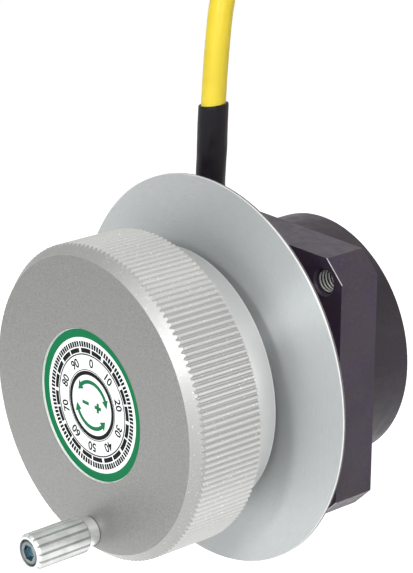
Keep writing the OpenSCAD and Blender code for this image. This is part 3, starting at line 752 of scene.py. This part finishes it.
def make_threads():
    """Bare metal thread ridges in the four mounting holes."""
    steps, turns, pitch, start = 28, 11, 0.8, 0.45
    root, crest, last_y = HOLE_R - 0.01, 2.08, BLOCK_T - 0.05
    count, fade_steps = steps * turns, 10
    bm = bmesh.new()
    for hx, hz in ((-HOLE, -HOLE), (-HOLE, HOLE), (HOLE, -HOLE), (HOLE, HOLE)):
        rows = []
        for i in range(count + 1):
            a = 2 * math.pi * i / steps
            y = start + pitch * i / steps
            tip = root - (root - crest) * min(1.0, i / fade_steps, (count - i) / fade_steps)
            rows.append([bm.verts.new(Vector((hx + r * math.cos(a), min(y + dy, last_y),
                                              hz + r * math.sin(a))) * MM)
                         for r, dy in ((root, 0), (tip, 0.32), (tip, 0.42), (root, 0.74))])
        for p, q in zip(rows, rows[1:]):
            for k in range(3):
                bm.faces.new((p[k], p[k + 1], q[k + 1], q[k]))
    bmesh.ops.recalc_face_normals(bm, faces=bm.faces)
    paint(mesh_piece("mounting_threads", bm, "housing", False),
          make_thread_material())


make_threads()


# ---------------------------------------------------------------- studio

# Name, azimuth and elevation in degrees, distance and diameter in m, power in W
LAMPS = [
    ("key", 22, 26, 1.1, 0.15, 4.32), ("key_right", 45, 35, 1.1, 0.15, 4.43),
    ("front_low", 10, 5, 1.1, 0.5, 1.33), ("right", 60, 5, 1.1, 0.15, 1.16),
    ("top", 10, 70, 1.1, 0.6, 2.38), ("top_right", 50, 60, 1.1, 0.7, 1.24),
    ("right_low", 120, 12, 1.0, 0.5, 1.09), ("left", -100, 35, 1.1, 0.6, 0.4),
    ("back_right", 150, 20, 1.1, 0.5, 0.2), ("back", 180, 35, 1.1, 0.6, 1.75),
]
WORLD_FILL = 0.1
FLOOR_DROP, FLOOR_R = 0.0005, 6.0                   # m: depth below the part, and radius
FLOOR_GLOW_PATCH, FLOOR_GLOW_NEAR, FLOOR_WHITE = 1.29, 0.20, 0.62     # strengths of the floor's painted glow in front and all round, and of its plain white


def make_lamp(name, az, el, distance, size, power):
    data = bpy.data.lights.new(name, "AREA")
    data.shape, data.size, data.energy = "DISK", size, power
    obj = bpy.data.objects.new(name, data)
    obj.location = direction(math.radians(az), math.radians(el)) * distance
    obj.rotation_mode = "QUATERNION"
    obj.rotation_quaternion = (-obj.location).to_track_quat("-Z", "Y")
    obj.visible_camera = False
    bpy.context.scene.collection.objects.link(obj)


for lamp in LAMPS:
    make_lamp(*lamp)


def seen_by(nt):
    """1 for rays from the camera, and for reflected and transmitted ones, otherwise 0."""
    path = nt.nodes.new("ShaderNodeLightPath")
    value = path.outputs["Is Camera Ray"]
    for other in ("Is Glossy Ray", "Is Transmission Ray"):
        n = nt.nodes.new("ShaderNodeMath")
        n.operation = "MAXIMUM"
        nt.links.new(value, n.inputs[0])
        nt.links.new(path.outputs[other], n.inputs[1])
        value = n.outputs[0]
    return value


def make_world():
    """Faint all-round fill, and plain white wherever the camera or a reflection looks."""
    world = bpy.data.worlds.new("studio")
    world.use_nodes = True
    bpy.context.scene.world = world
    nt = world.node_tree
    fill, white = nt.nodes["Background"], nt.nodes.new("ShaderNodeBackground")
    for background, strength in ((fill, WORLD_FILL), (white, 1.0)):
        background.inputs["Color"].default_value = (1, 1, 1, 1)
        background.inputs["Strength"].default_value = strength
    mix = nt.nodes.new("ShaderNodeMixShader")
    nt.links.new(seen_by(nt), mix.inputs[0])
    nt.links.new(fill.outputs[0], mix.inputs[1])
    nt.links.new(white.outputs[0], mix.inputs[2])
    nt.links.new(mix.outputs[0], nt.nodes["World Output"].inputs["Surface"])


make_world()


def make_floor():
    """White table with a painted glow in front of the wheel and a faint one all round, white to
    the camera.
    """
    bm = bmesh.new()
    bmesh.ops.create_circle(bm, cap_ends=True, segments=96, radius=FLOOR_R)
    data = bpy.data.meshes.new("floor")
    bm.to_mesh(data)
    bm.free()
    floor = bpy.data.objects.new("floor", data)
    floor.location = (0, 0, cad_box[0][2] - FLOOR_DROP)
    bpy.context.scene.collection.objects.link(floor)
    t = Tree("floor_white", Roughness=0.9, Specular_IOR_Level=0.1, Emission_Color=(1, 1, 1, 1))
    x, y, z = t.split()
    ahead = t.length(t.join(t.add(x, 0.10), t.add(y, 0.12), z))
    # Painted light: the floor glows in a patch in front of the wheel and faintly near the part
    patch = t.span(ahead, 0.02, 0.16, FLOOR_GLOW_PATCH, 0.0)
    near = t.span(t.length(t.coords), 0.05, 0.5, FLOOR_GLOW_NEAR, 0.0)
    white = t.mul(seen_by(t.nt), FLOOR_WHITE)
    t.set(Base_Color=t.mix(t.noise(40, 3), (0.80, 0.80, 0.80), (0.83, 0.83, 0.83)),
          Emission_Strength=t.add(t.add(patch, near), white))
    data.materials.append(t.mat)


make_floor()

bpy.context.scene.view_settings.view_transform = "Standard"

bpy.context.view_layer.update()
